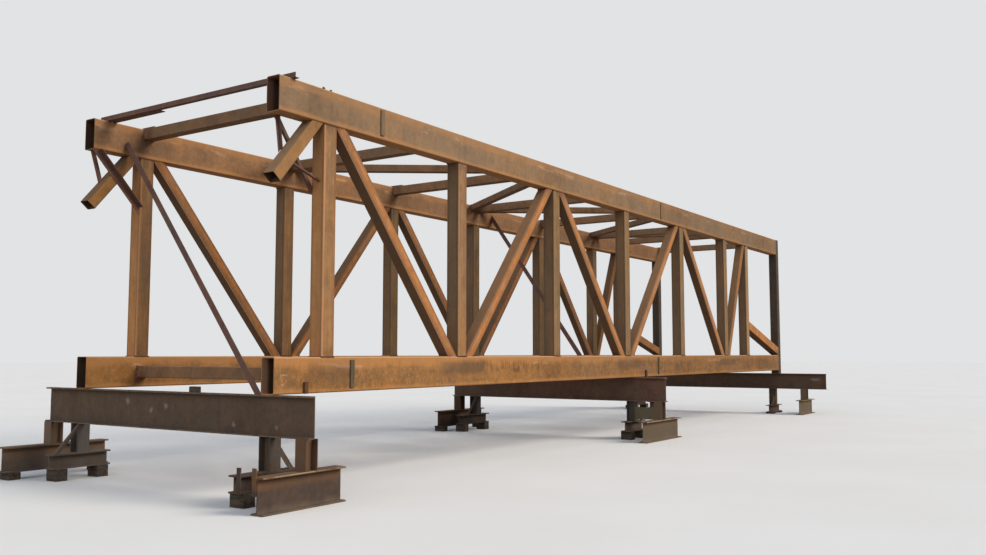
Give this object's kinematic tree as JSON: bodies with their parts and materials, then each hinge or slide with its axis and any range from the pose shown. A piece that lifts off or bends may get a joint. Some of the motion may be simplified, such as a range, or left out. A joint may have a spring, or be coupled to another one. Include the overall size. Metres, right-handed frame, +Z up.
{
  "type": "pedestrian link bridge",
  "caption": "Rusty steel box-truss segment of a pedestrian link bridge, one end open and one closed by full-height posts, standing on low beam trestles.",
  "frame": {"origin": "on the ground, under the middle of the span", "axes": "+X along the bridge from its open end to the closed one, +Y from the right truss to the left one, +Z up"},
  "size_m": [19.087, 5.92, 4.65],
  "materials": {
    "bridge_steel": "orange-brown rust over bare steel, matt, with darker patches at the welds",
    "angle_steel": "dark purplish-brown rust, matt",
    "trestle_steel": "old dark brown rust and worn paint, light along the flange edges",
    "packing_timber": "weathered grey-brown timber"
  },
  "bodies": {
    "root": {"bearer_lugs": "trestle_steel", "end_bay_braces": "bridge_steel", "end_sway_brace": "angle_steel", "first_trestle_bearers": "trestle_steel", "first_trestle_girder": "trestle_steel", "first_trestle_legs": "trestle_steel", "floor_cross_beams": "bridge_steel", "floor_plan_braces": "bridge_steel", "knee_angles": "angle_steel", "last_trestle_bearers": "trestle_steel", "last_trestle_girder": "trestle_steel", "last_trestle_legs": "trestle_steel", "left_bottom_chord": "bridge_steel", "left_diagonals": "bridge_steel", "left_end_post": "bridge_steel", "left_post_1": "bridge_steel", "left_post_2": "bridge_steel", "left_post_3": "bridge_steel", "left_post_4": "bridge_steel", "left_post_5": "bridge_steel", "left_post_6": "bridge_steel", "left_post_7": "bridge_steel", "left_top_chord": "bridge_steel", "middle_leg_plate": "trestle_steel", "middle_sway_brace": "angle_steel", "middle_trestle_bearers": "trestle_steel", "middle_trestle_girder": "trestle_steel", "middle_trestle_legs": "trestle_steel", "packing_blocks": "packing_timber", "right_bottom_chord": "bridge_steel", "right_diagonals": "bridge_steel", "right_end_post": "bridge_steel", "right_post_1": "bridge_steel", "right_post_2": "bridge_steel", "right_post_3": "bridge_steel", "right_post_4": "bridge_steel", "right_post_5": "bridge_steel", "right_post_6": "bridge_steel", "right_post_7": "bridge_steel", "right_top_chord": "bridge_steel", "spreader_angles": "angle_steel", "stop_cleats": "bridge_steel", "stub_diagonals": "bridge_steel", "stub_hangers": "angle_steel", "top_cross_beams": "bridge_steel", "top_plan_braces": "bridge_steel"}
  },
  "joints": []
}
